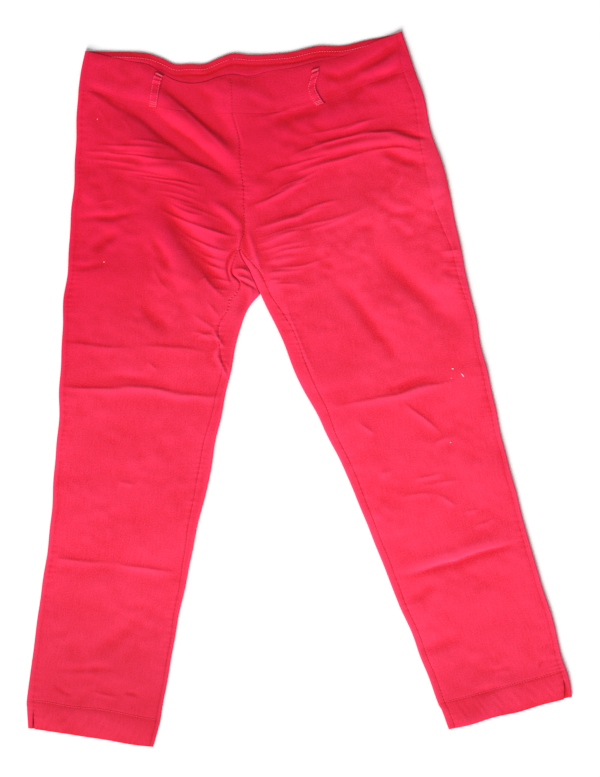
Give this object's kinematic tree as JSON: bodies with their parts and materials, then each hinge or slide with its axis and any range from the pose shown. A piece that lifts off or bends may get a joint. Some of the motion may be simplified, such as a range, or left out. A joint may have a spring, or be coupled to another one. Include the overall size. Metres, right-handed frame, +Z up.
{
  "type": "trousers",
  "caption": "Plain red cropped slim trousers in stretch twill, laid out flat with the front up, with waistband, belt loops and hem vents.",
  "frame": {"origin": "on the surface that the trousers lie on, under the middle of their outline", "axes": "+Z up off the surface, +Y towards the waist, +X towards the wearer's left, the right of somebody who looks down on the front"},
  "size_m": [0.7248, 0.9528, 0.0125],
  "materials": {
    "leg_cloth": "matt dyed cotton twill with a little stretch",
    "band_cloth": "the same twill, doubled and stitched"
  },
  "bodies": {
    "root": {"front_right": "leg_cloth", "front_left": "leg_cloth", "back_right": "leg_cloth", "back_left": "leg_cloth", "band_front_right": "band_cloth", "band_front_left": "band_cloth", "band_back_right": "band_cloth", "band_back_left": "band_cloth", "loop_right": "band_cloth", "loop_left": "band_cloth"}
  },
  "joints": []
}
